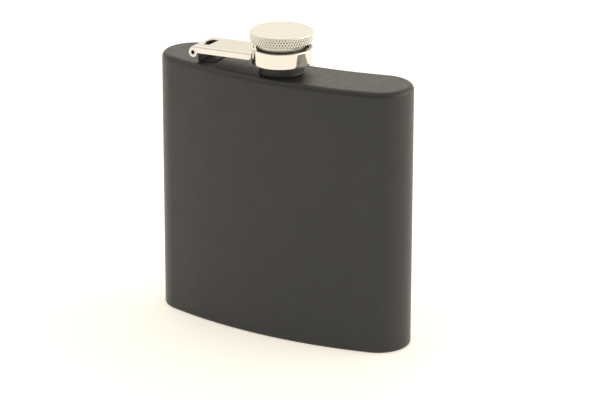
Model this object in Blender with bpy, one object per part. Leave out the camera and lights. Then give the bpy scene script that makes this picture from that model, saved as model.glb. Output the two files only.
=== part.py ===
"""A six-ounce hip flask with a captive screw cap, as separate pieces.

Blender 4.5. Metres, +Z up. The flask stands on its base at the origin; its convex face looks along -Y.
The hinge is on the left (-X) of the shoulder, and its arm holds a collar around the cap.
"""

from math import acos, asin, atan2, cos, pi, radians, sin, sqrt, tau

import bmesh
import bpy
from mathutils import Vector

MM = 0.001

# Body: a kidney-shaped section between two arcs on one centre, closed by half circles.
BODY_WIDTH = 95.6 * MM
BODY_THICKNESS = 22.7 * MM
BODY_HEIGHT = 92.35 * MM
FRONT_RADIUS = 152.0 * MM
SHEET = 0.6 * MM
SHOULDER_EDGE_RADIUS = 1.9 * MM
BASE_EDGE_RADIUS = 0.9 * MM

# Neck: a smooth foot, then a threaded spout that the cap screws over.
NECK_X = 1.2 * MM
NECK_FOOT_RADIUS = 7.5 * MM
NECK_FOOT_TOP = BODY_HEIGHT + 3.2 * MM
NECK_BORE_RADIUS = 6.2 * MM
NECK_DEPTH_INSIDE = 1.0 * MM
NECK_TOP = BODY_HEIGHT + 9.2 * MM
THREAD_ROOT_RADIUS = 6.8 * MM
THREAD_DEPTH = 0.5 * MM
THREAD_PITCH = 1.5 * MM
THREAD_BOTTOM = NECK_FOOT_TOP + 0.5 * MM
THREAD_TOP = NECK_TOP - 0.6 * MM

# Cap: a knurled head pressed over a skirt whose flange keeps the collar on.
HEAD_RADIUS = 10.7 * MM
HEAD_BOTTOM = BODY_HEIGHT + 10.75 * MM
HEAD_TOP = BODY_HEIGHT + 14.25 * MM
HEAD_ROOF = 1.5 * MM
HEAD_EDGE = 0.5 * MM
SKIRT_RADIUS = 8.35 * MM
SKIRT_BORE_RADIUS = 7.8 * MM
SKIRT_BOTTOM = BODY_HEIGHT + 3.8 * MM
SKIRT_ROOF = 1.3 * MM
FLANGE_RADIUS = 9.15 * MM
FLANGE_HEIGHT = 0.8 * MM
SEAL_RADIUS = 7.6 * MM

# Collar: a polished band with a lip inside that hangs on the skirt's flange. It hangs loose, a little
# off the cap's axis and away from the hinge.
COLLAR_OFFSET = 0.3 * MM
COLLAR_RADIUS = 10.35 * MM
COLLAR_BORE_RADIUS = 9.75 * MM
COLLAR_HEIGHT = 5.1 * MM
COLLAR_BOTTOM = BODY_HEIGHT + 3.35 * MM
COLLAR_EDGE = 0.35 * MM
LIP_RADIUS = 8.95 * MM
LIP_BOTTOM = 1.9 * MM
LIP_THICKNESS = 0.8 * MM
TONGUE_LENGTH = 4.0 * MM
TONGUE_WIDTH = 8.0 * MM
TONGUE_THICKNESS = 0.6 * MM

# Arm: a channel folded from sheet. Its ears turn on the hinge pin, and it rises towards the collar,
# which it holds at a smaller tilt of its own.
PIN_X = -30.05 * MM
PIN_HEIGHT = BODY_HEIGHT + 3.28 * MM
ARM_RISE = radians(2.2)
COLLAR_TILT = radians(0.9)
ARM_WIDTH = 13.0 * MM
ARM_SHEET = 0.5 * MM
ARM_BEND_RADIUS = 0.4 * MM
WEB_TOP = 2.25 * MM
FLANGE_EDGE = -0.05 * MM
EAR_RADIUS = 1.68 * MM
CURL_RADIUS = 2.2 * MM
CURL_CENTRE = (0.52 * MM, 0.05 * MM)
CURL_END_X = -0.3 * MM
FLANGE_GAP = 0.4 * MM
FLANGE_CORNER = 1.4 * MM
SLOT_START = 1.3 * MM
SLOT_SIZE = (3.1 * MM, 6.3 * MM)

# Hinge: a strip welded to the shoulder under the arm, rolled into a knuckle around a tubular pin.
PIN_RADIUS = 0.9 * MM
PIN_BORE_RADIUS = 0.65 * MM
PIN_CLEARANCE = 0.1 * MM
KNUCKLE_RADIUS = 1.3 * MM
BRACKET_SHEET = 0.3 * MM
BRACKET_WIDTH = 9.0 * MM
FOOT_LENGTH = 6.5 * MM

# Pieces that touch keep this gap, so that their solids stay apart.
GAP = 0.3 * MM

FACE_STEPS = 20
END_STEPS = 14
EDGE_STEPS = 3
ROUND_STEPS = 48
SMALL_ROUND_STEPS = 20
THREAD_STEPS = 36
THREAD_STEPS_PER_TURN = 6
SMOOTH_ANGLE = radians(35)

# What follows from the driving dimensions.
MIDLINE_RADIUS = FRONT_RADIUS - BODY_THICKNESS / 2
END_ANGLE = asin((BODY_WIDTH - BODY_THICKNESS) / 2 / MIDLINE_RADIUS)
BODY_DEPTH = FRONT_RADIUS - MIDLINE_RADIUS * cos(END_ANGLE) + BODY_THICKNESS / 2
FRONT_Y = -BODY_DEPTH / 2
NECK_Y = FRONT_Y + BODY_THICKNESS / 2
COLLAR_TURN = (0, ARM_RISE - COLLAR_TILT, 0)
SEAL_BOTTOM = NECK_TOP + GAP
SKIRT_TOP = HEAD_TOP - HEAD_ROOF - GAP
SEAL_TOP = SKIRT_TOP - SKIRT_ROOF - GAP


def clear_scene():
    for obj in list(bpy.data.objects):
        bpy.data.objects.remove(obj)


def make_material(name, colour, roughness, metallic):
    material = bpy.data.materials.new(name)
    material.use_nodes = True
    shader = material.node_tree.nodes["Principled BSDF"]
    shader.inputs["Base Color"].default_value = (*colour, 1.0)
    shader.inputs["Roughness"].default_value = roughness
    shader.inputs["Metallic"].default_value = metallic
    return material


def place(name, mesh, material, parent, location=(0, 0, 0)):
    """An object with this mesh, placed in its parent's frame."""
    mesh.shade_smooth()
    mesh.set_sharp_from_angle(angle=SMOOTH_ANGLE)
    mesh.materials.append(material)
    obj = bpy.data.objects.new(name, mesh)
    bpy.context.scene.collection.objects.link(obj)
    obj.parent = parent
    obj.location = location
    return obj


def make_empty(name, location, turn=0.0):
    """A frame for the pieces that move together. Turn is about Y, and lifts the +X side."""
    empty = bpy.data.objects.new(name, None)
    empty.empty_display_size = 5 * MM
    empty.location = location
    empty.rotation_euler = (0, -turn, 0)
    bpy.context.scene.collection.objects.link(empty)
    return empty


def mesh_of(name, build):
    """A mesh whose faces point out, from build, a function that fills a bmesh."""
    bm = bmesh.new()
    build(bm)
    bmesh.ops.recalc_face_normals(bm, faces=bm.faces)
    mesh = bpy.data.meshes.new(name)
    bm.to_mesh(mesh)
    bm.free()
    return mesh


def skin(name, rings, closed=False):
    """A surface through rings of equal count. It closes on its first ring, or is capped at both ends."""

    def build(bm):
        loops = [[bm.verts.new(point) for point in ring] for ring in rings]
        pairs = list(zip(loops, loops[1:]))
        if closed:
            pairs.append((loops[-1], loops[0]))
        else:
            bm.faces.new(loops[0])
            bm.faces.new(loops[-1])
        for low, high in pairs:
            for i in range(len(low)):
                j = (i + 1) % len(low)
                bm.faces.new((low[i], low[j], high[j], high[i]))

    return mesh_of(name, build)


def circle(radius, z, steps=ROUND_STEPS):
    return [(radius * cos(tau * i / steps), radius * sin(tau * i / steps), z) for i in range(steps)]


def turned(name, profile, closed=False, steps=ROUND_STEPS):
    """A solid of revolution about Z through the (radius, z) points of profile."""
    return skin(name, [circle(radius, z, steps) for radius, z in profile], closed)


def arc(centre, radius, start, end, steps):
    """Points from angle start to angle end, both included."""
    angles = [start + (end - start) * i / steps for i in range(steps + 1)]
    return [(centre[0] + radius * cos(a), centre[1] + radius * sin(a)) for a in angles]


def extruded(name, outline, width, round_top=0.0):
    """The (x, z) outline drawn out along Y to this width, centred. Its upper side edges can be rounded."""

    def build(bm):
        sides = [[bm.verts.new((x, y, z)) for x, z in outline] for y in (-width / 2, width / 2)]
        ends = [bm.faces.new(side) for side in sides]
        for i in range(len(outline)):
            j = (i + 1) % len(outline)
            bm.faces.new((sides[0][i], sides[0][j], sides[1][j], sides[1][i]))
        bmesh.ops.recalc_face_normals(bm, faces=bm.faces)
        if not round_top:
            return
        top = [f for f in bm.faces if f not in ends and f.normal.z > 0.2]
        edges = [e for e in bm.edges if set(e.link_faces) & set(top) and set(e.link_faces) & set(ends)]
        bmesh.ops.bevel(bm, geom=edges, offset=round_top, segments=3, profile=0.5, affect="EDGES")

    return mesh_of(name, build)


def cut(obj, name, mesh, location=(0, 0, 0), rotation=(0, 0, 0), operation="DIFFERENCE"):
    """Cuts a helper shape, placed in the frame of obj's parent, out of obj, or joins it on."""
    helper = bpy.data.objects.new(name, mesh)
    bpy.context.scene.collection.objects.link(helper)
    helper.parent = obj.parent
    helper.location = location
    helper.rotation_euler = rotation
    helper.hide_render = True
    helper.display_type = "WIRE"
    modifier = obj.modifiers.new(name, "BOOLEAN")
    modifier.operation = operation
    modifier.object = helper


def rod(name, radius, length, steps=SMALL_ROUND_STEPS):
    return turned(name, [(radius, -length / 2), (radius, length / 2)], steps=steps)


def box(name, size_x, size_y, size_z):
    corners = [(size_x / 2 * sx, size_z / 2 * sz) for sx, sz in ((-1, -1), (1, -1), (1, 1), (-1, 1))]
    return extruded(name, corners, size_y)


def body_outline(inset, z):
    """The body's section at height z, moved in from the outer surface by inset."""
    centre_y = FRONT_Y + FRONT_RADIUS

    def around(radius, angle):
        return Vector((radius * sin(angle), centre_y - radius * cos(angle), z))

    def end_arc(side):
        centre = around(MIDLINE_RADIUS, side * END_ANGLE)
        radius = BODY_THICKNESS / 2 - inset
        start = side * (END_ANGLE - pi / 2)
        points = []
        for i in range(1, END_STEPS):
            angle = start + side * pi * i / END_STEPS
            points.append(centre + Vector((side * radius * cos(angle), side * radius * sin(angle), 0)))
        return points

    angles = [END_ANGLE * (2 * i / FACE_STEPS - 1) for i in range(FACE_STEPS + 1)]
    front = [around(FRONT_RADIUS - inset, a) for a in angles]
    back = [around(FRONT_RADIUS - BODY_THICKNESS + inset, a) for a in reversed(angles)]
    return front + end_arc(1) + back + end_arc(-1)[::-1]


def end_plate(name, edge_radius, level, upward):
    """A dished plate that closes the body at this level, with a rounded rim that meets the wall."""

    def ring(radius, angle):
        inset = edge_radius - radius * cos(angle)
        rise = edge_radius - radius * sin(angle)
        return body_outline(inset, level - upward * rise)

    angles = [pi / 2 * i / EDGE_STEPS for i in range(EDGE_STEPS + 1)]
    inner = [ring(edge_radius - SHEET, a) for a in reversed(angles)]
    outer = [ring(edge_radius, a) for a in angles]
    return skin(name, inner + outer)


def make_body(steel):
    low, high = BASE_EDGE_RADIUS + GAP, BODY_HEIGHT - SHOULDER_EDGE_RADIUS - GAP
    outlines = [(0, low), (0, high), (SHEET, high), (SHEET, low)]
    wall = skin("body_wall", [body_outline(inset, z) for inset, z in outlines], closed=True)
    place("body_wall", wall, steel, None)
    place("base_plate", end_plate("base_plate", BASE_EDGE_RADIUS, 0, -1), steel, None)
    shoulder = end_plate("shoulder_plate", SHOULDER_EDGE_RADIUS, BODY_HEIGHT, 1)
    shoulder = place("shoulder_plate", shoulder, steel, None)
    hole = rod("neck_hole_cutter", NECK_FOOT_RADIUS + GAP, 6 * MM, ROUND_STEPS)
    cut(shoulder, "neck_hole_cutter", hole, (NECK_X, NECK_Y, BODY_HEIGHT))


def thread_height(turn, z):
    """How far the thread stands out, from 0 to 1, at this share of a turn and this height."""
    phase = ((z - THREAD_BOTTOM) / THREAD_PITCH - turn) % 1.0
    ridge = min(1.0, max(0.0, 2.2 - abs(phase - 0.5) * 7.0))
    fade = min(z - THREAD_BOTTOM, THREAD_TOP - z) / (0.4 * THREAD_PITCH)
    return ridge * min(1.0, max(0.0, fade))


def thread_ring(z):
    points = []
    for i in range(THREAD_STEPS):
        turn = i / THREAD_STEPS
        radius = THREAD_ROOT_RADIUS + THREAD_DEPTH * thread_height(turn, z)
        points.append((radius * cos(tau * turn), radius * sin(tau * turn), z))
    return points


def make_neck(steel):
    rim_chamfer = 0.25 * MM
    foot_bottom = BODY_HEIGHT - SHEET - NECK_DEPTH_INSIDE
    count = round((THREAD_TOP - THREAD_BOTTOM) / THREAD_PITCH * THREAD_STEPS_PER_TURN)
    levels = [THREAD_BOTTOM + (THREAD_TOP - THREAD_BOTTOM) * i / count for i in range(count + 1)]
    below = [(NECK_BORE_RADIUS, foot_bottom), (NECK_FOOT_RADIUS, foot_bottom)]
    below += [(NECK_FOOT_RADIUS, NECK_FOOT_TOP - GAP), (NECK_FOOT_RADIUS - GAP, NECK_FOOT_TOP)]
    below += [(THREAD_ROOT_RADIUS, NECK_FOOT_TOP)]
    above = [(THREAD_ROOT_RADIUS, NECK_TOP - rim_chamfer), (THREAD_ROOT_RADIUS - rim_chamfer, NECK_TOP)]
    above += [(NECK_BORE_RADIUS, NECK_TOP)]
    rings = [circle(radius, z, THREAD_STEPS) for radius, z in below]
    rings += [thread_ring(z) for z in levels]
    rings += [circle(radius, z, THREAD_STEPS) for radius, z in above]
    place("neck", skin("neck", rings, closed=True), steel, None, (NECK_X, NECK_Y, 0))


def make_cap(frame, steel, rubber):
    bore = SKIRT_RADIUS + GAP
    head = [
        (bore, HEAD_TOP - HEAD_ROOF),
        (bore, HEAD_BOTTOM),
        (HEAD_RADIUS - HEAD_EDGE, HEAD_BOTTOM),
        (HEAD_RADIUS, HEAD_BOTTOM + HEAD_EDGE),
        (HEAD_RADIUS, HEAD_TOP - HEAD_EDGE),
        (HEAD_RADIUS - HEAD_EDGE, HEAD_TOP),
    ]
    skirt = [
        (SKIRT_BORE_RADIUS, SKIRT_TOP - SKIRT_ROOF),
        (SKIRT_BORE_RADIUS, SKIRT_BOTTOM),
        (FLANGE_RADIUS, SKIRT_BOTTOM),
        (FLANGE_RADIUS, SKIRT_BOTTOM + FLANGE_HEIGHT),
        (SKIRT_RADIUS, SKIRT_BOTTOM + FLANGE_HEIGHT),
        (SKIRT_RADIUS, SKIRT_TOP),
    ]
    seal = [(SEAL_RADIUS, SEAL_BOTTOM), (SEAL_RADIUS, SEAL_TOP)]
    for name, profile, material in (
        ("cap_head", head, steel),
        ("cap_skirt", skirt, steel),
        ("cap_seal", seal, rubber),
    ):
        local = [(radius, z - BODY_HEIGHT) for radius, z in profile]
        place(name, turned(name, local), material, frame)


def make_collar(frame, steel):
    """The band, with a tongue that runs in under the arm's web."""
    top, outer, bore = COLLAR_HEIGHT, COLLAR_RADIUS, COLLAR_BORE_RADIUS
    profile = [
        (bore, COLLAR_EDGE / 2),
        (bore + COLLAR_EDGE / 2, 0),
        (outer - COLLAR_EDGE, 0),
        (outer, COLLAR_EDGE),
        (outer, top - COLLAR_EDGE),
        (outer - COLLAR_EDGE, top),
        (bore + COLLAR_EDGE / 2, top),
        (bore, top - COLLAR_EDGE / 2),
        (bore, LIP_BOTTOM + LIP_THICKNESS),
        (LIP_RADIUS, LIP_BOTTOM + LIP_THICKNESS),
        (LIP_RADIUS, LIP_BOTTOM),
        (bore, LIP_BOTTOM),
    ]
    centred = [(radius, z - top / 2) for radius, z in profile]
    middle = COLLAR_BOTTOM + top / 2
    centre = frame.matrix_basis.inverted() @ Vector((NECK_X + COLLAR_OFFSET, NECK_Y, middle))
    collar = place("collar", turned("collar", centred, closed=True), steel, frame, centre)
    collar.rotation_euler = COLLAR_TURN
    web_bottom = WEB_TOP - ARM_SHEET
    overlap = (outer - bore) / 2
    length = TONGUE_LENGTH + overlap
    tongue = box("collar_tongue_helper", length, TONGUE_WIDTH, TONGUE_THICKNESS)
    where = (centre.x - outer + overlap - length / 2, 0, web_bottom - GAP - TONGUE_THICKNESS / 2)
    cut(collar, "collar_tongue_helper", tongue, where, operation="UNION")
    return centre


def make_arm(frame, steel, collar_centre):
    web_bottom = WEB_TOP - ARM_SHEET
    half = ARM_WIDTH / 2
    web_end = collar_centre.x - sqrt((COLLAR_RADIUS + GAP) ** 2 - half**2) + GAP
    flange_end = collar_centre.x - sqrt(COLLAR_RADIUS**2 - half**2) - FLANGE_GAP
    corner = (flange_end - FLANGE_CORNER, FLANGE_EDGE + FLANGE_CORNER)
    ear_start = atan2(CURL_CENTRE[1], -sqrt(EAR_RADIUS**2 - CURL_CENTRE[1] ** 2)) + tau
    ear_end = asin(FLANGE_EDGE / EAR_RADIUS) + tau
    outline = arc(corner, FLANGE_CORNER, -pi / 2, 0, 5)
    outline += [(flange_end, web_bottom), (web_end, web_bottom), (web_end, WEB_TOP)]
    outline += arc(CURL_CENTRE, CURL_RADIUS, pi / 2, pi, 8)
    outline += arc((0, 0), EAR_RADIUS, ear_start, ear_end, 10)[1:]
    arm = extruded("retaining_arm", outline, ARM_WIDTH, round_top=ARM_BEND_RADIUS)
    arm = place("retaining_arm", arm, steel, frame)
    relief = rod("collar_relief_cutter", COLLAR_RADIUS + GAP, 3 * COLLAR_HEIGHT, ROUND_STEPS)
    cut(arm, "collar_relief_cutter", relief, collar_centre, COLLAR_TURN)

    far = 30 * MM
    inner_radius = CURL_RADIUS - ARM_SHEET
    curl_end = acos((CURL_END_X - CURL_CENTRE[0]) / inner_radius)
    channel = [(-far, -far), (far, -far), (far, web_bottom)]
    channel += arc(CURL_CENTRE, inner_radius, pi / 2, curl_end, 4)
    channel += [(CURL_END_X, far), (-far, far)]
    cutter = extruded("channel_cutter", channel, ARM_WIDTH - 2 * ARM_SHEET)
    cut(arm, "channel_cutter", cutter)

    slot = box("slot_cutter", *SLOT_SIZE, 3 * MM)
    cut(arm, "slot_cutter", slot, (SLOT_START + SLOT_SIZE[0] / 2, 0, WEB_TOP))
    bore = rod("ear_bore_cutter", PIN_RADIUS + PIN_CLEARANCE, 2 * ARM_WIDTH)
    cut(arm, "ear_bore_cutter", bore, rotation=(pi / 2, 0, 0))


def make_hinge(frame, dark_steel, steel):
    """The bracket's strip lies on the shoulder, turns up at its left end and rolls around the pin.

    It rises on the pin's right, so that the web passes on the left when the arm is thrown over.
    """
    foot_bottom = BODY_HEIGHT + GAP - PIN_HEIGHT
    foot_top = foot_bottom + BRACKET_SHEET
    knuckle_end = tau - acos((KNUCKLE_RADIUS - BRACKET_SHEET) / KNUCKLE_RADIUS)
    outline = arc((KNUCKLE_RADIUS, foot_top), BRACKET_SHEET, pi, 3 * pi / 2, 4)
    outline += [(FOOT_LENGTH, foot_bottom), (FOOT_LENGTH, foot_top), (KNUCKLE_RADIUS, foot_top)]
    outline += arc((0, 0), KNUCKLE_RADIUS, 0, knuckle_end, 18)
    bracket = extruded("hinge_bracket", outline, BRACKET_WIDTH)
    bracket = place("hinge_bracket", bracket, dark_steel, frame)
    bore = rod("knuckle_bore_cutter", PIN_RADIUS + PIN_CLEARANCE, 2 * BRACKET_WIDTH)
    cut(bracket, "knuckle_bore_cutter", bore, rotation=(pi / 2, 0, 0))

    ends = (-ARM_WIDTH / 2, ARM_WIDTH / 2)
    tube = [(PIN_RADIUS, end) for end in ends] + [(PIN_BORE_RADIUS, end) for end in reversed(ends)]
    mesh = turned("hinge_pin", tube, closed=True, steps=SMALL_ROUND_STEPS)
    pin = place("hinge_pin", mesh, steel, frame)
    pin.rotation_euler = (pi / 2, 0, 0)


def main():
    clear_scene()
    black_paint = make_material("black_paint", (0.035, 0.035, 0.034), 0.55, 0.0)
    polished_steel = make_material("polished_steel", (0.80, 0.78, 0.74), 0.18, 1.0)
    brushed_steel = make_material("brushed_steel", (0.76, 0.74, 0.70), 0.35, 1.0)
    silicone = make_material("silicone", (0.72, 0.72, 0.70), 0.60, 0.0)

    make_body(black_paint)
    make_neck(black_paint)

    pin_point = (PIN_X, NECK_Y, PIN_HEIGHT)
    make_hinge(make_empty("hinge_axis", pin_point), black_paint, brushed_steel)
    cap_frame = make_empty("cap_axis", (NECK_X, NECK_Y, BODY_HEIGHT))
    make_cap(cap_frame, brushed_steel, silicone)
    arm_frame = make_empty("arm_axis", pin_point, ARM_RISE)
    collar_centre = make_collar(arm_frame, polished_steel)
    make_arm(arm_frame, polished_steel, collar_centre)


main()
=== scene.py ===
"""The looks of a black hip flask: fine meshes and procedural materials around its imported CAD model.

Metres, +Z up. The flask's convex face looks along -Y, and its hinge is on the -X side of the cap.
"""

from math import acos, asin, cos, hypot, pi, radians, sin, sqrt, tan, tau

import bmesh
import bpy
from mathutils import Matrix, Vector


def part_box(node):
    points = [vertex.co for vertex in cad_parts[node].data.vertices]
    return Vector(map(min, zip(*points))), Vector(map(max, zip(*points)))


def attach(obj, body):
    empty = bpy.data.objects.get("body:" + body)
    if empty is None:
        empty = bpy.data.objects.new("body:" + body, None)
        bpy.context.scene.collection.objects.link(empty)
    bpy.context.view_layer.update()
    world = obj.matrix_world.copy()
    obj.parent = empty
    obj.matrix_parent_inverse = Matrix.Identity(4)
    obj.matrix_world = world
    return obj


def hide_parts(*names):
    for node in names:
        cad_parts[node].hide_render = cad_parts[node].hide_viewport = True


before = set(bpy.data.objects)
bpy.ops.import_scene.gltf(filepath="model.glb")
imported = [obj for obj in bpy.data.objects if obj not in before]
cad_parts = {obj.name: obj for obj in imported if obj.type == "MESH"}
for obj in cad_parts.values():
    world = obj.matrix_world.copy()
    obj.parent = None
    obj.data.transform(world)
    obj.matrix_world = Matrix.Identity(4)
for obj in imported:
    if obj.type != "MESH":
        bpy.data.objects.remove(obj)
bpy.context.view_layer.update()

MM = 0.001

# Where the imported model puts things.
neck_low, neck_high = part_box("neck")
pin_low, pin_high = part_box("hinge_pin")
head_low, head_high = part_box("cap_head")
skirt_low, skirt_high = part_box("cap_skirt")
seal_low, seal_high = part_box("cap_seal")
foot_low, foot_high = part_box("hinge_bracket")
BODY_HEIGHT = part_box("shoulder_plate")[1].z
BODY_WIDTH = 95.6 * MM
NECK_X = (neck_low.x + neck_high.x) / 2
NECK_Y = (neck_low.y + neck_high.y) / 2
PIN_X = (pin_low.x + pin_high.x) / 2
PIN_Z = (pin_low.z + pin_high.z) / 2
ARM_WIDTH = pin_high.y - pin_low.y

# Body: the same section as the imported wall, with more steps and rounded rims.
BODY_THICKNESS = 22.7 * MM
FRONT_RADIUS = 152.0 * MM
SHEET = 0.6 * MM
SHOULDER_EDGE = 1.9 * MM
BASE_EDGE = 0.9 * MM
RIM_FLAT = 0.35 * MM  # the plate's ring inside its rounded rim
FACE_STEPS = 72
END_STEPS = 44
RIM_STEPS = 10
WALL_STEPS = 6
HOLE_STEPS = 96
MIDLINE_RADIUS = FRONT_RADIUS - BODY_THICKNESS / 2
END_ANGLE = asin((BODY_WIDTH - BODY_THICKNESS) / 2 / MIDLINE_RADIUS)
BODY_DEPTH = FRONT_RADIUS - MIDLINE_RADIUS * cos(END_ANGLE) + BODY_THICKNESS / 2
FRONT_Y = -BODY_DEPTH / 2

# Neck, with the fillet of its weld.
TURNED_STEPS = 120
FOOT_RADIUS = 7.5 * MM
FOOT_TOP = BODY_HEIGHT + 3.2 * MM
FOOT_ROUND = 0.3 * MM
FOOT_EASE = 0.09 * MM  # how far the middle of the broken edge lies from its corner
FOOT_LAP = 0.2 * MM  # how far a part reaches down into the one it is welded to
BORE_RADIUS = 6.2 * MM
MOUTH_ROUND = 0.25 * MM
MOUTH_EASE = 0.08 * MM
MOUTH_BEVEL = 0.12 * MM
WELD = 0.55 * MM
WELD_LIFT = 0.02 * MM
WELD_STEPS = 8

# Thread, male on the neck and female in the cap.
THREAD_ROOT = 6.8 * MM
THREAD_DEPTH = 0.5 * MM
THREAD_PITCH = 1.5 * MM
THREAD_BOTTOM = FOOT_TOP + 0.5 * MM
THREAD_TOP = neck_high.z - 0.6 * MM
THREAD_ROWS = 12  # rings to one pitch
THREAD_STEEPNESS = 6.4  # of the flanks, in crest heights to one pitch
THREAD_FADE = 0.4 * THREAD_PITCH

# Cap.
HEAD_RADIUS = (head_high.x - head_low.x) / 2
HEAD_CHAMFER = (0.45 * MM, 0.55 * MM)  # in from the side, and down from the top
HEAD_ROOF = 1.5 * MM  # from the top down to the roof of the bore
HEAD_FIT = 0.25 * MM  # around the skirt
HEAD_FOOT = ((0.45 * MM, 0.0), (0.25 * MM, 0.05 * MM))  # the lower edge's points, in from the side and up
HEAD_FLAT = (0.3 * MM, 0.6)  # two rings on the top: in from its edge, and a share of the radius
HEAD_STEPS = 6
HEAD_GAP = 0.01 * MM  # between the head and the skirt's fillet
SKIRT_RADIUS = 8.35 * MM
SKIRT_BORE = 7.8 * MM
SKIRT_ROOF = 1.3 * MM
SKIRT_FILLET = 0.22 * MM
SKIRT_EDGE = 0.15 * MM
SKIRT_THREAD_DEPTHS = (0.06 * MM, 0.30 * MM)  # at the mouth, and at the roof
SKIRT_THREAD_ENDS = (0.6 * MM, 0.5 * MM)  # up from the mouth, and down from the roof
SKIRT_WAIST = 3.0 * MM  # a ring on the straight wall
POINT = 0.0005 * MM  # a radius of next to nothing, where a turned face closes
FLANGE_RADIUS = (skirt_high.x - skirt_low.x) / 2
FLANGE_HEIGHT = 0.8 * MM
FLANGE_ROUND = 0.2 * MM
SEAL_RIM = 2.0 * MM  # the flat ring's width
SEAL_DISH = (0.2 * MM, 0.12 * MM)  # the slope inside the ring: its width and its depth
SEAL_EDGE = 0.15 * MM

# Knurl: two sets of grooves, shallow along their length and deep where they cross.
KNURLS_AROUND = 66
KNURL_SAMPLES = 10
KNURL_DEPTH = 0.32 * MM
KNURL_TALL = 1.73  # a diamond's height over its width
KNURL_ROWS = 2 * KNURL_SAMPLES  # rings to one diamond
KNURL_FADE = (3, 2)  # rings over which the knurl starts and ends
KNURL_LOW = 0.25 * MM
GROOVE_EDGE = 0.6  # from 0 in the middle of a diamond to 1 in the middle of a groove
GROOVE_SHARE = 0.35  # of the knurl's depth
CROSSING_EDGE = 0.3  # on the same scale, for the groove that is further away
CROSSING_SHARE = 1.1

# Arm.
ARM_RISE = radians(2.2)
ARM_SHEET = 0.5 * MM
BEND = 0.6 * MM
INNER_BEND = 0.25 * MM
WEB_TOP = 2.25 * MM
FLANGE_EDGE = -0.05 * MM
EAR_RADIUS = 1.68 * MM
EAR_SOFTNESS = 0.12  # the bend at the ears over the bend at the web
EAR_STEPS = 24
WEB_STEPS = 8
CURL_STEPS = 16
CURL_RADIUS = 2.2 * MM
CURL_CENTRE = (0.52 * MM, 0.05 * MM)
CURL_END = -0.3 * MM  # the curl stops here, short of the pin's far side
CURL_FADE = radians(55)  # the last part of the curl, over which the bend gets sharper
FLANGE_GAP = 0.35 * MM  # between the flanges and the collar
FLANGE_CORNER = 1.3 * MM
WEB_LAP = 0.6 * MM  # how far the uncut web reaches into the collar
SLOT = (1.3 * MM, 4.4 * MM)  # its start and end along the arm, from the pin
SLOT_WIDTH = 6.3 * MM
SLOT_CORNER = 0.25 * MM
SLOT_HEIGHTS = (1.2 * MM, 4 * MM)  # of its cutter
ARM_BREAK = 0.07 * MM
FAR = 40 * MM
PAST_ARM = 5 * MM

# Collar.
COLLAR_TILT = radians(0.9)
COLLAR_X = NECK_X + 0.3 * MM
COLLAR_RADIUS = 10.35 * MM
COLLAR_FLARE = (0.05 * MM, 1.5 * MM)  # how much wider at the lower edge, and up to which height
COLLAR_BORE = 9.75 * MM
COLLAR_HEIGHT = 5.3 * MM
COLLAR_LIP = 8.95 * MM
COLLAR_LIP_HEIGHTS = (1.9 * MM, 2.7 * MM)  # above the lower edge
COLLAR_MIDDLE = BODY_HEIGHT + 6.0 * MM
COLLAR_BITE = 0.12 * MM  # how deep the web reaches into the band
COLLAR_STEPS = 180
LONG_RUN = 1.5 * MM  # a longer run of the profile gets three more rings

# Pin and bracket.
PIN_RADIUS = 0.9 * MM
PIN_BORE = 0.66 * MM
PIN_HOLE = 1.0 * MM
PIN_FLARE = 0.22 * MM
KNUCKLE_RADIUS = 1.3 * MM
ROLL_END = 4.9  # the angle at which the rolled strip ends, in radians
STRIP = 0.3 * MM
STRIP_BEND = 0.3 * MM
STRIP_DROP = 0.28 * MM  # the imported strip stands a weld's gap above the shoulder, and this one rests on it
STRIP_BREAK = 0.06 * MM

# Studio. Azimuths turn from -Y towards +X.
WARM_WHITE = (1.0, 0.93, 0.82)
SURROUND = 1.08
DARK_SIDE = radians(12)
DARK_LOBE = (0.2, 0.95, SURROUND, 0.55)  # cosines at its edge and its core, then strengths there
BRIGHT_SIDE = radians(122)
BRIGHT_LOBE = (0.72, 0.97, 0.0, 2.0)  # the same, and added to the first one
KEY_DIRECTION = (radians(-149), radians(38))
KEY_DISTANCE = 1.4
KEY_SIZE = (1.2, 0.7)
KEY_POWER = 1.3
KEY_COLOUR = (1.0, 0.96, 0.89)
CAMERA_DIRECTION = (radians(30.767), radians(19.751))
CAMERA_ROLL = radians(0.085)
CAMERA_TARGET = (-0.24 * MM, 0, 46.03 * MM)
CAMERA_SHIFT = (6.23 * MM, -0.769 * MM)
CAMERA_DISTANCE = 1038.1 * MM
CAMERA_LENS = 182.03


# ---------------------------------------------------------------- mesh helpers

def add_object(name, bm, material, body, replaces, origin=(0, 0, 0), turn=0.0, sharp=32):
    """Makes a piece from bm, whose points are about origin, and hands it to the frame."""
    bmesh.ops.recalc_face_normals(bm, faces=bm.faces)
    mesh = bpy.data.meshes.new(name)
    bm.to_mesh(mesh)
    bm.free()
    mesh.shade_smooth()
    mesh.set_sharp_from_angle(angle=radians(sharp))
    mesh.materials.append(material)
    obj = bpy.data.objects.new(name, mesh)
    obj.location = origin
    obj.rotation_euler = (0, turn, 0)
    bpy.context.scene.collection.objects.link(obj)
    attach(obj, body)
    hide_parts(*replaces)
    return obj


def skin(bm, rings, closed=False, capped=True):
    """Faces between each ring and the next. Closed joins the last ring to the first one."""
    loops = [[bm.verts.new(point) for point in ring] for ring in rings]
    pairs = list(zip(loops, loops[1:]))
    if closed:
        pairs.append((loops[-1], loops[0]))
    elif capped:
        bm.faces.new(loops[0])
        bm.faces.new(loops[-1])
    for low, high in pairs:
        for i in range(len(low)):
            j = (i + 1) % len(low)
            bm.faces.new((low[i], low[j], high[j], high[i]))
    return loops


def circle(radius, z, steps):
    return [(radius * cos(tau * i / steps), radius * sin(tau * i / steps), z) for i in range(steps)]


def arc(centre, radius, start, end, steps):
    angles = [start + (end - start) * i / steps for i in range(steps + 1)]
    return [(centre[0] + radius * cos(a), centre[1] + radius * sin(a)) for a in angles]


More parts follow.
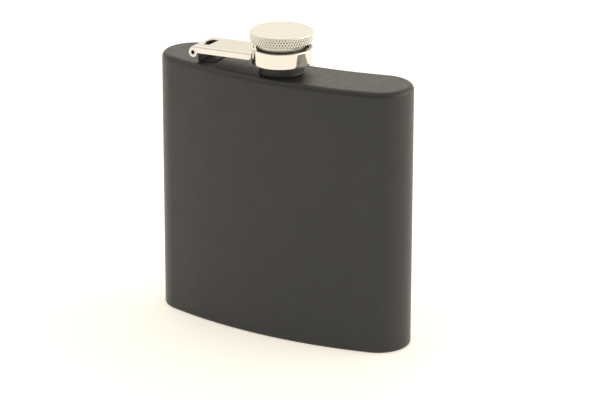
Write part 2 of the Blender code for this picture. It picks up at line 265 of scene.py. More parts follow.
def rounded(points, radii, steps=5):
    """The closed polyline with each corner i rounded by a curve of about radius radii[i]."""
    result = []
    for i, point in enumerate(points):
        here = Vector(point)
        to_last = Vector(points[i - 1]) - here
        to_next = Vector(points[(i + 1) % len(points)]) - here
        corner = to_last.angle(to_next)
        back = min(radii[i] / tan(corner / 2), to_last.length * 0.49, to_next.length * 0.49)
        start = here + to_last.normalized() * back
        end = here + to_next.normalized() * back
        for k in range(steps + 1):
            t = k / steps
            result.append(tuple(start * (1 - t) ** 2 + here * (2 * t * (1 - t)) + end * t ** 2))
    return result


def turned(bm, profile, steps, closed=False):
    """The (r, z) profile turned around Z."""
    skin(bm, [circle(r, z, steps) for r, z in profile], closed)


def lay_along_y(bm):
    bmesh.ops.rotate(bm, cent=(0, 0, 0), matrix=Matrix.Rotation(pi / 2, 3, "X"), verts=bm.verts)


def cut(obj, bm):
    """Cuts away the closed shape in bm, given in obj's own coordinates."""
    bmesh.ops.recalc_face_normals(bm, faces=bm.faces)
    mesh = bpy.data.meshes.new("cutter")
    bm.to_mesh(mesh)
    bm.free()
    cutter = bpy.data.objects.new("cutter", mesh)
    bpy.context.scene.collection.objects.link(cutter)
    bpy.context.view_layer.update()
    cutter.matrix_world = obj.matrix_world.copy()
    modifier = obj.modifiers.new("cut", "BOOLEAN")
    modifier.operation = "DIFFERENCE"
    modifier.object = cutter
    bpy.context.view_layer.update()
    graph = bpy.context.evaluated_depsgraph_get()
    made = bpy.data.meshes.new_from_object(obj.evaluated_get(graph))
    obj.modifiers.clear()
    obj.data = made
    bpy.data.objects.remove(cutter)


def prism(outline, low_y, high_y):
    """The (x, z) outline between two Y values."""
    bm = bmesh.new()
    skin(bm, [[(x, low_y, z) for x, z in outline], [(x, high_y, z) for x, z in outline]])
    return bm


def rod(radius, length, steps):
    """A rod along Z, with its middle at the origin."""
    bm = bmesh.new()
    turned(bm, [(radius, -length / 2), (radius, length / 2)], steps)
    return bm


def soften(obj, width):
    """Breaks the sharp edges of a cut piece, as tumbling does."""
    bevel = obj.modifiers.new("edge", "BEVEL")
    bevel.width = width
    bevel.segments = 2
    bevel.limit_method = "ANGLE"
    bevel.angle_limit = radians(40)
    bevel.use_clamp_overlap = True
    weighted = obj.modifiers.new("flat_faces", "WEIGHTED_NORMAL")
    weighted.keep_sharp = True


# ---------------------------------------------------------------- materials

class Nodes:
    """A short way to write a node tree."""

    def __init__(self, name):
        self.material = bpy.data.materials.new(name)
        self.material.use_nodes = True
        self.tree = self.material.node_tree
        self.shader = self.tree.nodes["Principled BSDF"]
        self.coords = self.tree.nodes.new("ShaderNodeTexCoord").outputs["Object"]

    def add(self, kind, **settings):
        node = self.tree.nodes.new(kind)
        for key, value in settings.items():
            setattr(node, key, value)
        return node

    def link(self, a, b):
        self.tree.links.new(a, b)

    def scaled(self, scale):
        node = self.add("ShaderNodeMapping")
        node.inputs["Scale"].default_value = scale
        self.link(self.coords, node.inputs["Vector"])
        return node.outputs["Vector"]

    def noise(self, scale, detail=3.0, rough=0.55, vector=None):
        node = self.add("ShaderNodeTexNoise")
        node.inputs["Scale"].default_value = scale
        node.inputs["Detail"].default_value = detail
        node.inputs["Roughness"].default_value = rough
        self.link(vector or self.coords, node.inputs["Vector"])
        return node.outputs["Fac"]

    def ramp(self, value, low, high, start=0.3, end=0.7):
        node = self.add("ShaderNodeMapRange")
        node.inputs["From Min"].default_value = start
        node.inputs["From Max"].default_value = end
        node.inputs["To Min"].default_value = low
        node.inputs["To Max"].default_value = high
        self.link(value, node.inputs["Value"])
        return node.outputs["Result"]

    def feed(self, socket, value):
        """Links a socket or a constant, which is a number or an RGB tuple."""
        if isinstance(value, bpy.types.NodeSocket):
            self.link(value, socket)
        elif isinstance(value, tuple):
            socket.default_value = (*value, 1)
        else:
            socket.default_value = value

    def colours(self, amount, first, second):
        """From the first colour to the second one."""
        node = self.add("ShaderNodeMix", data_type="RGBA")
        self.feed(node.inputs["A"], first)
        self.feed(node.inputs["B"], second)
        self.link(amount, node.inputs["Factor"])
        return node.outputs["Result"]

    def bump(self, height, strength, distance, normal=None):
        node = self.add("ShaderNodeBump")
        node.inputs["Strength"].default_value = strength
        node.inputs["Distance"].default_value = distance
        self.link(height, node.inputs["Height"])
        if normal:
            self.link(normal, node.inputs["Normal"])
        return node.outputs["Normal"]

    def math(self, operation, *values):
        node = self.add("ShaderNodeMath", operation=operation)
        for socket, value in zip(node.inputs, values):
            self.feed(socket, value)
        return node.outputs["Value"]

    def axes(self):
        """The X, Y and Z of the piece's own coordinates."""
        node = self.add("ShaderNodeSeparateXYZ")
        self.link(self.coords, node.inputs["Vector"])
        return [node.outputs[name] for name in "XYZ"]

    def set(self, name, value):
        self.feed(self.shader.inputs[name], value)


def shade(colour, share):
    return tuple(part * share for part in colour)


def paint(name, dark=(0.0105, 0.0112, 0.0122), light=(0.0135, 0.0142, 0.0152), rough=(0.37, 0.45)):
    """Matte powder coat: a fine orange peel, with a soft mottle in tone and gloss."""
    n = Nodes(name)
    mottle = n.noise(140, 4.0)
    n.set("Base Color", n.colours(n.ramp(mottle, 0, 1, 0.35, 0.65), dark, light))
    n.set("Roughness", n.ramp(n.noise(420, 3.0), rough[0], rough[1]))
    n.set("Metallic", 0.0)
    n.set("IOR", 1.52)
    peel = n.bump(n.noise(2600, 2.0, 0.5), 0.22, 0.00006)
    n.set("Normal", n.bump(n.noise(700, 2.0, 0.4), 0.10, 0.00010, peel))
    return n.material


def polished(name, colour=(0.76, 0.735, 0.69), rough=(0.06, 0.11), channel=None):
    """Tumbled and polished stainless steel, with fine polishing lines and faint handling marks.

    The inside of a channel, given by its half width, its roof's height and where it starts, is left rougher,
    and its colour is darkened as painted shade.
    """
    n = Nodes(name)
    tone = n.colours(n.ramp(n.noise(220, 4.0), 0, 1), colour, shade(colour, 0.965))
    gloss = n.ramp(n.noise(900, 4.0, 0.65), rough[0], rough[1])
    if channel:
        # Inside the channel: a rougher finish, and a darker colour that is painted shade under the arm.
        inside = channel_mask(n, *channel)
        tone = n.colours(inside, tone, CHANNEL_PAINTED_SHADE)
        gloss = n.math("MULTIPLY_ADD", inside, DULL_ROUGHNESS, gloss)
    n.set("Base Color", tone)
    n.set("Roughness", gloss)
    n.set("Metallic", 1.0)
    lines = n.noise(1.0, 3.0, 0.6, n.scaled((500, 500, 9000)))
    n.set("Normal", n.bump(lines, 0.05, 0.00002, n.bump(n.noise(260, 2.0), 0.05, 0.00006)))
    return n.material


def channel_mask(n, half, roof, start):
    """One on the inner faces of a channel and zero on its outer ones, changing within the sheet."""
    x, y, z = n.axes()
    narrow = n.ramp(n.math("ABSOLUTE", y), 1.0, 0.0, half + 0.1 * MM, half + 0.25 * MM)
    under = n.ramp(z, 1.0, 0.0, roof + 0.05 * MM, roof + 0.15 * MM)
    past = n.ramp(x, 0.0, 1.0, start - 0.12 * MM, start - 0.02 * MM)
    return n.math("MULTIPLY", n.math("MULTIPLY", narrow, under), past)


def satin(name, colour, rough):
    """Turned stainless steel with a fine satin sheen."""
    n = Nodes(name)
    n.set("Base Color", n.colours(n.ramp(n.noise(320, 4.0), 0, 1), colour, shade(colour, 0.94)))
    n.set("Roughness", n.ramp(n.noise(1200, 4.0, 0.65), rough[0], rough[1]))
    n.set("Metallic", 1.0)
    n.set("Normal", n.bump(n.noise(3000, 3.0, 0.6), 0.10, 0.00003))
    return n.material


def head_steel(name):
    """The cap's head: turning rings on the top, and painted shade in the pits between the knurls of the
    band.
    """
    n = Nodes(name)
    cloud = n.colours(n.ramp(n.noise(160, 3.0), 0, 1), HEAD_TONE, shade(HEAD_TONE, 0.97))
    x, y, z = n.axes()
    out = n.math("SQRT", n.math("MULTIPLY_ADD", y, y, n.math("MULTIPLY", x, x)))
    # Painted shade: the colour darkens towards the bottom of the knurl's grooves, below the band's top.
    depth = n.ramp(out, 1.0, 0.0, HEAD_RADIUS - 0.85 * KNURL_DEPTH, HEAD_RADIUS - 0.3 * KNURL_DEPTH)
    band_top = head_high.z - head_low.z - HEAD_CHAMFER[1]
    below = n.ramp(z, 1.0, 0.0, band_top - 0.10 * MM, band_top)
    n.set("Base Color", n.colours(n.math("MULTIPLY", depth, below), cloud, PIT_PAINTED_SHADE))
    n.set("Roughness", n.ramp(n.noise(700, 3.0), 0.26, 0.32))
    n.set("Metallic", 1.0)
    wave = n.math("SINE", n.math("MULTIPLY", out, tau / TURNING_FEED))
    n.set("Normal", n.bump(wave, 0.10, 0.000008, n.bump(n.noise(900, 2.0), 0.05, 0.00003)))
    return n.material


def silicone(name):
    """Translucent white silicone rubber."""
    n = Nodes(name)
    light, dark = (0.62, 0.62, 0.60), (0.55, 0.55, 0.53)
    n.set("Base Color", n.colours(n.ramp(n.noise(500, 3.0), 0, 1), light, dark))
    n.set("Roughness", n.ramp(n.noise(1500, 3.0), 0.45, 0.62))
    n.set("Metallic", 0.0)
    n.set("Subsurface Weight", 0.1)
    n.set("Normal", n.bump(n.noise(4000, 2.0), 0.15, 0.00004))
    return n.material


# Painted shade: the dark colour inside the arm's channel stands in for the shadow under the arm.
CHANNEL_PAINTED_SHADE = (0.20, 0.19, 0.175)
DULL_ROUGHNESS = 0.32
HEAD_TONE = (0.715, 0.70, 0.65)
# Painted shade for the bottom of the knurl's grooves.
PIT_PAINTED_SHADE = (0.25, 0.235, 0.205)
TURNING_FEED = 0.12 * MM

BODY_PAINT = paint("body_powder_coat")
NECK_PAINT = paint("neck_powder_coat", rough=(0.42, 0.50))
# The bracket has the body's powder coat but is painted a little lighter: painted light on the knuckle, which
# sits in shade under the slot.
BRACKET_LIGHTENED_PAINT = paint("bracket_powder_coat", (0.016, 0.0165, 0.017), (0.022, 0.0225, 0.023), (0.45, 0.55))
# The arm's steel carries painted shade inside its channel.
ARM_STEEL = polished("arm_polished_steel",
                     channel=(ARM_WIDTH / 2 - ARM_SHEET, WEB_TOP - ARM_SHEET, CURL_END))
COLLAR_STEEL = polished("collar_polished_steel", rough=(0.04, 0.08))
SKIRT_STEEL = polished("skirt_polished_steel", (0.70, 0.68, 0.64), (0.27, 0.35))
HEAD_STEEL = head_steel("cap_turned_steel")
THREAD_STEEL = satin("thread_turned_steel", (0.66, 0.65, 0.63), (0.20, 0.30))
PIN_STEEL = satin("pin_steel", (0.70, 0.69, 0.67), (0.18, 0.28))
SEAL = silicone("seal_silicone")


# ---------------------------------------------------------------- body

def body_outline(inset, z):
    """The kidney section at height z, moved in by inset."""
    centre_y = FRONT_Y + FRONT_RADIUS

    def around(radius, angle):
        return Vector((radius * sin(angle), centre_y - radius * cos(angle), z))

    def end_arc(side):
        centre = around(MIDLINE_RADIUS, side * END_ANGLE)
        radius = BODY_THICKNESS / 2 - inset
        start = side * (END_ANGLE - pi / 2)
        points = []
        for i in range(1, END_STEPS):
            angle = start + side * pi * i / END_STEPS
            points.append(centre + Vector((side * radius * cos(angle), side * radius * sin(angle), 0)))
        return points

    angles = [END_ANGLE * (2 * i / FACE_STEPS - 1) for i in range(FACE_STEPS + 1)]
    front = [around(FRONT_RADIUS - inset, a) for a in angles]
    back = [around(FRONT_RADIUS - BODY_THICKNESS + inset, a) for a in reversed(angles)]
    return front + end_arc(1) + back + end_arc(-1)[::-1]


def plate_with_hole(bm, rim, hole):
    """Fills the flat region between two loops of vertices."""
    edges = []
    for loop in (rim, hole):
        for i in range(len(loop)):
            pair = (loop[i], loop[(i + 1) % len(loop)])
            edges.append(bm.edges.get(pair) or bm.edges.new(pair))
    bmesh.ops.triangle_fill(bm, edges=edges, use_beauty=True)


def rim_rings(radius, level, upward):
    """Rings around a rounded rim, from the flat plate out to the wall."""
    rings = []
    for i in range(RIM_STEPS + 1):
        a = pi / 2 * (1 - i / RIM_STEPS)
        rings.append(body_outline(radius * (1 - cos(a)), level - upward * radius * (1 - sin(a))))
    return rings


def make_body():
    """The wall, base and shoulder as one painted skin, hollow, with a hole for the neck."""
    bm = bmesh.new()
    base, top = 0.0, BODY_HEIGHT
    outer = [body_outline(BASE_EDGE + RIM_FLAT, base)] + rim_rings(BASE_EDGE, base, -1)
    outer += [body_outline(0, base + (top - base) * i / WALL_STEPS) for i in range(1, WALL_STEPS)]
    outer += rim_rings(SHOULDER_EDGE, top, 1)[::-1] + [body_outline(SHOULDER_EDGE + RIM_FLAT, top)]
    outer_loops = skin(bm, outer, capped=False)
    inner = [body_outline(BASE_EDGE, base + SHEET), body_outline(SHEET, base + BASE_EDGE)]
    inner += [body_outline(SHEET, top - SHOULDER_EDGE), body_outline(SHOULDER_EDGE, top - SHEET)]
    inner_loops = skin(bm, inner, capped=False)
    bm.faces.new(outer_loops[0])
    bm.faces.new(inner_loops[0])
    hole = [[(NECK_X + x, NECK_Y + y, z) for x, y, z in circle(FOOT_RADIUS, level, HOLE_STEPS)]
            for level in (top, top - SHEET)]
    hole_loops = skin(bm, hole, capped=False)
    plate_with_hole(bm, outer_loops[-1], hole_loops[0])
    plate_with_hole(bm, inner_loops[-1], hole_loops[1])
    add_object("flask_body", bm, BODY_PAINT, "flask", ("body_wall", "base_plate", "shoulder_plate"),
               sharp=50)


# ---------------------------------------------------------------- neck

def thread_height(turn, z, low, high):
    """From 0 on the thread's root to 1 on its crest, fading in and out at its ends."""
    phase = ((z - low) / THREAD_PITCH - turn) % 1.0
    ridge = min(1.0, max(0.0, 2.0 - abs(phase - 0.5) * THREAD_STEEPNESS))
    smooth = ridge * ridge * (3 - 2 * ridge)
    fade = min(z - low, high - z) / THREAD_FADE
    return smooth * min(1.0, max(0.0, fade))


def thread_rings(start, end, root, depth_at):
    """Rings from one height to another, with a thread that stands depth_at(z) out from its root."""
    low, high = sorted((start, end))
    count = round((high - low) / THREAD_PITCH * THREAD_ROWS)
    rings = []
    for k in range(count + 1):
        z = start + (end - start) * k / count
        ring = []
        for i in range(TURNED_STEPS):
            turn = i / TURNED_STEPS
            r = root + depth_at(z) * thread_height(turn, z, low, high)
            ring.append((r * cos(tau * turn), r * sin(tau * turn), z))
        rings.append(ring)
    return rings


def broken_edge(radius, height, size, ease):
    """Three points around the upper outer corner of a (r, z) profile."""
    return [(radius, height - size), (radius - ease, height - ease), (radius - size, height)]


def make_neck_foot():
    """The painted foot, with the fillet of its weld on the shoulder."""
    low, lapped = neck_low.z, BODY_HEIGHT - FOOT_LAP
    welded = FOOT_RADIUS + WELD
    profile = [(BORE_RADIUS, low), (FOOT_RADIUS, low), (FOOT_RADIUS, lapped), (welded, lapped)]
    profile += [(welded, BODY_HEIGHT + WELD_LIFT)]
    profile += arc((welded, BODY_HEIGHT + WELD), WELD, -pi / 2, -pi, WELD_STEPS)[1:]
    profile += broken_edge(FOOT_RADIUS, FOOT_TOP, FOOT_ROUND, FOOT_EASE)
    profile += [(THREAD_ROOT - 0.05 * MM, FOOT_TOP), (BORE_RADIUS, FOOT_TOP)]
    bm = bmesh.new()
    turned(bm, profile, TURNED_STEPS, closed=True)
    add_object("neck_foot", bm, NECK_PAINT, "flask", ("neck",), (NECK_X, NECK_Y, 0))


def make_neck_thread():
    """The bare tube above the foot, with the male thread."""
    base, top = FOOT_TOP - FOOT_LAP, neck_high.z
    mouth = broken_edge(THREAD_ROOT, top, MOUTH_ROUND, MOUTH_EASE)
    mouth += [(BORE_RADIUS + MOUTH_BEVEL, top), (BORE_RADIUS, top - MOUTH_BEVEL)]
    rings = [circle(BORE_RADIUS, base, TURNED_STEPS), circle(THREAD_ROOT, base, TURNED_STEPS)]
    rings += thread_rings(THREAD_BOTTOM, THREAD_TOP, THREAD_ROOT, lambda z: THREAD_DEPTH)
    rings += [circle(r, z, TURNED_STEPS) for r, z in mouth]
    bm = bmesh.new()
    skin(bm, rings, closed=True)
    add_object("neck_thread", bm, THREAD_STEEL, "flask", ("neck",),
               (NECK_X, NECK_Y, 0), sharp=40)


# ---------------------------------------------------------------- cap

def knurl(u, w):
    """The share of the knurl's depth that is cut at u pitches around the band and w pitches up it."""
    first = abs(2 * ((u + w) % 1.0) - 1)
    second = abs(2 * ((u - w) % 1.0) - 1)
    groove = max(0.0, (max(first, second) - GROOVE_EDGE) / (1 - GROOVE_EDGE))
    crossing = max(0.0, (min(first, second) - CROSSING_EDGE) / (1 - CROSSING_EDGE))
    return min(1.0, GROOVE_SHARE * groove + CROSSING_SHARE * crossing)


def make_cap_head():
    """The turned head, with a diamond knurl cut into its band."""
    steps = KNURLS_AROUND * KNURL_SAMPLES
    pitch = tau * HEAD_RADIUS / KNURLS_AROUND
    high = head_high.z - head_low.z
    inset, drop = HEAD_CHAMFER
    bore = SKIRT_RADIUS + HEAD_FIT
    rings = [circle(bore, high - HEAD_ROOF, steps), circle(bore, 0.0, steps)]
    rings += [circle(HEAD_RADIUS - back, up, steps) for back, up in HEAD_FOOT]

    band = high - drop - KNURL_LOW
    rows = round(band / (pitch * KNURL_TALL) * KNURL_ROWS)
    for k in range(rows + 1):
        z = KNURL_LOW + band * k / rows
        depth = KNURL_DEPTH * min(1.0, (k + 1) / KNURL_FADE[0], (rows - k) / KNURL_FADE[1])
        ring = []
        for i in range(steps):
            r = HEAD_RADIUS - depth * knurl(i / KNURL_SAMPLES, k / KNURL_ROWS)
            a = tau * i / steps
            ring.append((r * cos(a), r * sin(a), z))
        rings.append(ring)

    for i in range(1, HEAD_STEPS + 1):
        a = pi / 2 * i / HEAD_STEPS
        rings.append(circle(HEAD_RADIUS - inset * (1 - cos(a)), high - drop * (1 - sin(a)), steps))
    for r in (HEAD_RADIUS - inset - HEAD_FLAT[0], HEAD_RADIUS * HEAD_FLAT[1]):
        rings.append(circle(r, high, steps))
    bm = bmesh.new()
    skin(bm, rings)
    add_object("cap_head_knurled", bm, HEAD_STEEL, "cap", ("cap_head",),
               (NECK_X, NECK_Y, head_low.z), sharp=28)


def make_cap_skirt():
    """The cap's waist, with a small fillet below the head, and the flange that the collar hangs on."""
    low, high, under_head = skirt_low.z, skirt_high.z, head_low.z
    roof = high - SKIRT_ROOF
    thread_low, thread_high = low + SKIRT_THREAD_ENDS[0], roof - SKIRT_THREAD_ENDS[1]

    def depth_at(z):
        """Inwards, and shallower towards the mouth."""
        mouth, inner = SKIRT_THREAD_DEPTHS
        return -(mouth + (inner - mouth) * (z - thread_low) / (thread_high - thread_low))

    flange = FLANGE_RADIUS - FLANGE_ROUND
    fillet = (SKIRT_RADIUS + SKIRT_FILLET, under_head - SKIRT_FILLET - HEAD_GAP)
    outside = [(SKIRT_BORE, low + SKIRT_EDGE), (SKIRT_BORE + SKIRT_EDGE, low)]
    outside += [(FLANGE_RADIUS - SKIRT_EDGE, low)]
    outside += arc((flange, low + FLANGE_ROUND), FLANGE_ROUND, -pi / 2, 0, 3)[1:]
    outside += arc((flange, low + FLANGE_HEIGHT - FLANGE_ROUND), FLANGE_ROUND, 0, pi / 2, 3)
    outside += [(SKIRT_RADIUS, low + FLANGE_HEIGHT), (SKIRT_RADIUS, low + SKIRT_WAIST)]
    outside += arc(fillet, SKIRT_FILLET, pi, pi / 2, 5)
    outside += [(SKIRT_RADIUS, under_head + 2 * HEAD_GAP), (SKIRT_RADIUS, high), (POINT, high)]
    rings = [circle(r, roof, TURNED_STEPS) for r in (POINT, SKIRT_BORE)]
    rings += thread_rings(thread_high, thread_low, SKIRT_BORE, depth_at)
    rings += [circle(r, z, TURNED_STEPS) for r, z in outside]
    bm = bmesh.new()
    skin(bm, [[(x, y, z - low) for x, y, z in ring] for ring in rings])
    add_object("cap_skirt_threaded", bm, SKIRT_STEEL, "cap", ("cap_skirt",),
               (NECK_X, NECK_Y, low), sharp=35)


def make_seal():
    """The disc in the cap's roof, dished on its lower side."""
    radius = (seal_high.x - seal_low.x) / 2
    height = seal_high.z - seal_low.z
    dish = radius - SEAL_RIM
    profile = [(dish - SEAL_DISH[0], SEAL_DISH[1]), (dish, 0), (radius - SEAL_EDGE, 0), (radius, SEAL_EDGE)]
    profile += [(radius, height - SEAL_EDGE), (radius - SEAL_EDGE, height)]
    bm = bmesh.new()
    turned(bm, profile, HOLE_STEPS)
    add_object("cap_seal_disc", bm, SEAL, "cap", ("cap_seal",),
               (NECK_X, NECK_Y, seal_low.z))


# ---------------------------------------------------------------- collar

def arm_point(x, z):
    """The place in the arm's own frame, about the pin, of a world point in the hinge's plane."""
    dx, dz = x - PIN_X, z - PIN_Z
    return dx * cos(ARM_RISE) + dz * sin(ARM_RISE), dz * cos(ARM_RISE) - dx * sin(ARM_RISE)


COLLAR_AT = arm_point(COLLAR_X, COLLAR_MIDDLE)


def make_collar():
    """The band, a little wider at its lower edge, with the lip inside that keeps the cap."""
    half = COLLAR_HEIGHT / 2
    flare, flare_height = COLLAR_FLARE
    lip_low, lip_high = [height - half for height in COLLAR_LIP_HEIGHTS]
    corners = [(COLLAR_BORE, -half), (COLLAR_RADIUS + flare, -half), (COLLAR_RADIUS, flare_height - half),
               (COLLAR_RADIUS, half), (COLLAR_BORE, half), (COLLAR_BORE, lip_high),
               (COLLAR_LIP, lip_high), (COLLAR_LIP, lip_low), (COLLAR_BORE, lip_low)]
    radii = [0.15 * MM, 0.3 * MM, 0.9 * MM, 0.34 * MM, 0.2 * MM] + [0.15 * MM] * 4
    profile = rounded(corners, radii)
    dense = []
    for here, there in zip(profile, profile[1:] + profile[:1]):
        dense.append(here)
        if hypot(there[0] - here[0], there[1] - here[1]) > LONG_RUN:
            for share in (0.1, 0.5, 0.9):
                dense.append([a * (1 - share) + b * share for a, b in zip(here, there)])
    bm = bmesh.new()
    turned(bm, dense, COLLAR_STEPS, closed=True)
    add_object("collar_band", bm, COLLAR_STEEL, "arm", ("collar",),
               (COLLAR_X, NECK_Y, COLLAR_MIDDLE), -COLLAR_TILT, sharp=40)


# ---------------------------------------------------------------- arm

def rounded_slab(bm, outline, soft, half, radius, steps=8):
    """The (x, z) outline across 2 * half. Near each side, a point moves in along its soft vector."""
    rings = []
    angles = [pi / 2 * (1 - i / steps) for i in range(steps + 1)]
    for a in angles:
        rings.append((-(half - radius + radius * sin(a)), radius * (1 - cos(a))))
    for a in reversed(angles):
        rings.append((half - radius + radius * sin(a), radius * (1 - cos(a))))
    shapes = []
    for y, inset in rings:
        shapes.append([(x + inset * n[0], y, z + inset * n[1]) for (x, z), n in zip(outline, soft)])
    skin(bm, shapes)


def arm_outline(web_end):
    """The arm's (x, z) outline, and the way that each point moves in near the arm's two sides."""
    outline, soft = [(web_end, FLANGE_EDGE)], [(0, 0)]
    for i in range(WEB_STEPS):
        outline.append((CURL_CENTRE[0] + (web_end - CURL_CENTRE[0]) * (1 - i / WEB_STEPS), WEB_TOP))
        soft.append((0, -1))
    for i in range(CURL_STEPS + 1):
        a = pi / 2 + pi / 2 * i / CURL_STEPS
        weight = min(1.0, max(EAR_SOFTNESS, (pi - a) / CURL_FADE))
        outline.append((CURL_CENTRE[0] + CURL_RADIUS * cos(a), CURL_CENTRE[1] + CURL_RADIUS * sin(a)))
        soft.append((-cos(a) * weight, -sin(a) * weight))
    ear_start = pi - asin(CURL_CENTRE[1] / EAR_RADIUS)
    ear_end = asin(FLANGE_EDGE / EAR_RADIUS) + tau
    for x, z in arc((0, 0), EAR_RADIUS, ear_start, ear_end, EAR_STEPS)[1:]:
        outline.append((x, z))
        soft.append((-x / EAR_RADIUS * EAR_SOFTNESS, -z / EAR_RADIUS * EAR_SOFTNESS))
    return outline, soft


def channel_cutter():
    """The space inside the arm, which is open below, past the curl and at the collar's end."""
    inner = CURL_RADIUS - ARM_SHEET
    roof = arc(CURL_CENTRE, inner, pi / 2, acos((CURL_END - CURL_CENTRE[0]) / inner), 10)
    outline = [(-FAR, -FAR), (FAR, -FAR), (FAR, WEB_TOP - ARM_SHEET)] + roof
    outline += [(CURL_END, FAR), (-FAR, FAR)]
    soft = [(0, 0)] * 2 + [(0, -1)] * (1 + len(roof)) + [(0, 0)] * 2
    bm = bmesh.new()
    rounded_slab(bm, outline, soft, ARM_WIDTH / 2 - ARM_SHEET, INNER_BEND, 3)
    return bm


def flange_cutter(side, flange_end):
    """The space past the rounded end of one side's flange."""
    corner = (flange_end - FLANGE_CORNER, FLANGE_EDGE + FLANGE_CORNER)
    outline = [(corner[0], -PAST_ARM)] + arc(corner, FLANGE_CORNER, -pi / 2, 0, 10)
    outline += [(flange_end, PAST_ARM), (FAR, PAST_ARM), (FAR, -PAST_ARM)]
    return prism(outline, *sorted((side * (ARM_WIDTH / 2 - BEND), side * FAR)))


def slot_cutter():
    near, far = SLOT
    edge = SLOT_WIDTH / 2
    corners = [(near, -edge), (far, -edge), (far, edge), (near, edge)]
    outline = rounded(corners, [SLOT_CORNER] * 4)
    bm = bmesh.new()
    skin(bm, [[(x, y, z) for x, y in outline] for z in SLOT_HEIGHTS])
    return bm


def pin_cutter():
    bm = rod(PIN_HOLE, 2 * ARM_WIDTH, 40)
    lay_along_y(bm)
    return bm


def collar_cutter():
    """The collar's outside, a little smaller, so that the web closes on the band."""
    bm = rod(COLLAR_RADIUS - COLLAR_BITE, 3 * COLLAR_HEIGHT, COLLAR_STEPS)
    tilt = Matrix.Rotation(ARM_RISE - COLLAR_TILT, 3, "Y")
    bmesh.ops.rotate(bm, cent=(0, 0, 0), matrix=tilt, verts=bm.verts)
    bmesh.ops.translate(bm, verts=bm.verts, vec=(COLLAR_AT[0], 0, COLLAR_AT[1]))
    return bm


def make_arm():
    """The channel: a block with a rounded back, cut by the channel, flange ends, slot, hole and collar."""
    half = ARM_WIDTH / 2
    collar_edge = COLLAR_AT[0] - sqrt(COLLAR_RADIUS ** 2 - half ** 2)
    outline, soft = arm_outline(collar_edge + WEB_LAP)
    bm = bmesh.new()
    rounded_slab(bm, outline, soft, half, BEND)
    obj = add_object("arm_channel", bm, ARM_STEEL, "arm", ("retaining_arm",),
                     (PIN_X, NECK_Y, PIN_Z), -ARM_RISE)
    cut(obj, channel_cutter())
    for side in (-1, 1):
        cut(obj, flange_cutter(side, collar_edge - FLANGE_GAP))
    for cutter in (slot_cutter(), pin_cutter(), collar_cutter()):
        cut(obj, cutter)
    obj.data.shade_smooth()
    obj.data.set_sharp_from_angle(angle=radians(32))
    soften(obj, ARM_BREAK)


# ---------------------------------------------------------------- hinge

def make_bracket():
    """The strip on the shoulder, turned up and rolled around the pin, with its open end underneath."""
    half = (foot_high.y - foot_low.y) / 2
    length = foot_high.x - PIN_X
    bottom = foot_low.z - PIN_Z - STRIP_DROP
    top = bottom + STRIP
    bend_z = top + STRIP_BEND
    outline = arc((KNUCKLE_RADIUS, bend_z), STRIP + STRIP_BEND, pi, 3 * pi / 2, 6)
    outline += [(length, bottom), (length, top)]
    outline += arc((KNUCKLE_RADIUS + STRIP_BEND, bend_z), STRIP_BEND, 3 * pi / 2, pi, 5)
    outline += arc((0, 0), KNUCKLE_RADIUS, 0, ROLL_END, 32)
    outline += arc((0, 0), KNUCKLE_RADIUS - STRIP, ROLL_END, 0, 32)
    bm = prism(outline, -half, half)
    obj = add_object("bracket_strip", bm, BRACKET_LIGHTENED_PAINT, "flask", ("hinge_bracket",),
                     (PIN_X, NECK_Y, PIN_Z))
    soften(obj, STRIP_BREAK)


def make_pin():
    """The tubular pin, with each end peened over its ear."""
    flare = PIN_RADIUS + PIN_FLARE
    peened = [(PIN_RADIUS, 0.01 * MM), (flare, 0.01 * MM), (flare, 0.05 * MM)]
    peened += [(flare - 0.06 * MM, 0.11 * MM), (PIN_BORE + 0.10 * MM, 0.13 * MM), (PIN_BORE, 0.05 * MM)]
    side = [(r, ARM_WIDTH / 2 + out) for r, out in peened]
    bm = bmesh.new()
    turned(bm, side + [(r, -z) for r, z in reversed(side)], 48, closed=True)
    lay_along_y(bm)
    add_object("pin_peened", bm, PIN_STEEL, "pin", ("hinge_pin",), (PIN_X, NECK_Y, PIN_Z))


# ---------------------------------------------------------------- studio

def direction(azimuth, elevation=0.0):
    """The unit vector towards this azimuth, which turns from -Y towards +X, and elevation."""
    return Vector((sin(azimuth) * cos(elevation), -cos(azimuth) * cos(elevation), sin(elevation)))


def make_floor():
    """A pale floor with a little light of its own, so that it stays near white around the flask."""
    bm = bmesh.new()
    bmesh.ops.create_grid(bm, x_segments=2, y_segments=2, size=3.0)
    mesh = bpy.data.meshes.new("floor")
    bm.to_mesh(mesh)
    bm.free()
    floor = bpy.data.objects.new("floor", mesh)
    bpy.context.scene.collection.objects.link(floor)
    n = Nodes("floor_white")
    n.set("Base Color", (0.80, 0.80, 0.80))
    n.set("Roughness", 0.9)
    n.set("Specular IOR Level", 0.1)
    n.set("Emission Color", (1.0, 0.93, 0.80))
    n.set("Emission Strength", 0.45)
    mesh.materials.append(n.material)


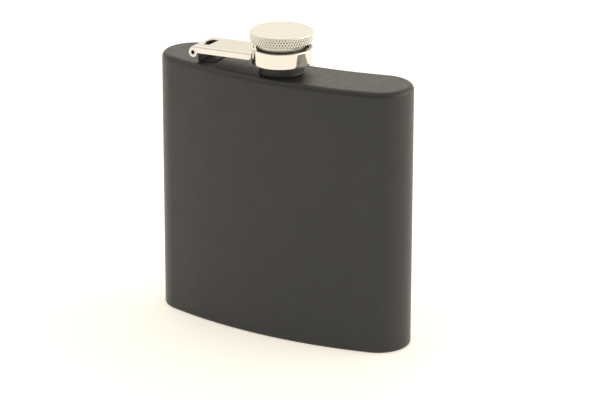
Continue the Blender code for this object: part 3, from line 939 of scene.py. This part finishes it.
def make_world():
    """An even white surround, dimmer where the camera stands and brighter past the flask's right end."""
    world = bpy.data.worlds.new("studio")
    bpy.context.scene.world = world
    world.use_nodes = True
    tree = world.node_tree
    background = tree.nodes["Background"]
    background.inputs["Color"].default_value = (*WARM_WHITE, 1)
    coords = tree.nodes.new("ShaderNodeTexCoord")
    total = tree.nodes.new("ShaderNodeMath")
    total.operation = "ADD"
    tree.links.new(total.outputs["Value"], background.inputs["Strength"])
    for socket, azimuth, lobe in zip(total.inputs, (DARK_SIDE, BRIGHT_SIDE), (DARK_LOBE, BRIGHT_LOBE)):
        towards = tree.nodes.new("ShaderNodeVectorMath")
        towards.operation = "DOT_PRODUCT"
        towards.inputs[1].default_value = direction(azimuth)
        tree.links.new(coords.outputs["Generated"], towards.inputs[0])
        ramp = tree.nodes.new("ShaderNodeMapRange")
        ramp.interpolation_type = "SMOOTHSTEP"
        for name, value in zip(("From Min", "From Max", "To Min", "To Max"), lobe):
            ramp.inputs[name].default_value = value
        tree.links.new(towards.outputs["Value"], ramp.inputs["Value"])
        tree.links.new(ramp.outputs["Result"], socket)


def make_key_light():
    """One soft box, high behind the flask."""
    light = bpy.data.lights.new("key", "AREA")
    light.shape = "RECTANGLE"
    light.size, light.size_y = KEY_SIZE
    light.energy = KEY_POWER
    light.color = KEY_COLOUR
    obj = bpy.data.objects.new("key", light)
    away = direction(*KEY_DIRECTION)
    obj.location = Vector((0, 0, BODY_HEIGHT / 2)) + away * KEY_DISTANCE
    obj.rotation_euler = away.to_track_quat("Z", "Y").to_euler()
    bpy.context.scene.collection.objects.link(obj)


def make_camera():
    """A long lens that looks a little past the target, so that the flask stands left of the middle."""
    azimuth, elevation = CAMERA_DIRECTION
    right = Vector((cos(azimuth), sin(azimuth), 0))
    back = direction(azimuth, elevation)
    up = back.cross(right)
    aim = Vector(CAMERA_TARGET) + right * CAMERA_SHIFT[0] + up * CAMERA_SHIFT[1]
    turned_right = right * cos(CAMERA_ROLL) + up * sin(CAMERA_ROLL)
    turned_up = up * cos(CAMERA_ROLL) - right * sin(CAMERA_ROLL)
    data = bpy.data.cameras.new("camera")
    data.sensor_width = 36.0
    data.lens = CAMERA_LENS
    data.clip_start, data.clip_end = 0.01, 20.0
    camera = bpy.data.objects.new("camera", data)
    basis = Matrix((turned_right, turned_up, back)).transposed().to_4x4()
    camera.matrix_world = Matrix.Translation(aim + back * CAMERA_DISTANCE) @ basis
    bpy.context.scene.collection.objects.link(camera)
    bpy.context.scene.camera = camera


make_body()
make_neck_foot()
make_neck_thread()
make_cap_head()
make_cap_skirt()
make_seal()
make_collar()
make_arm()
make_bracket()
make_pin()
make_floor()
make_world()
make_key_light()
make_camera()
bpy.context.scene.view_settings.view_transform = "Standard"
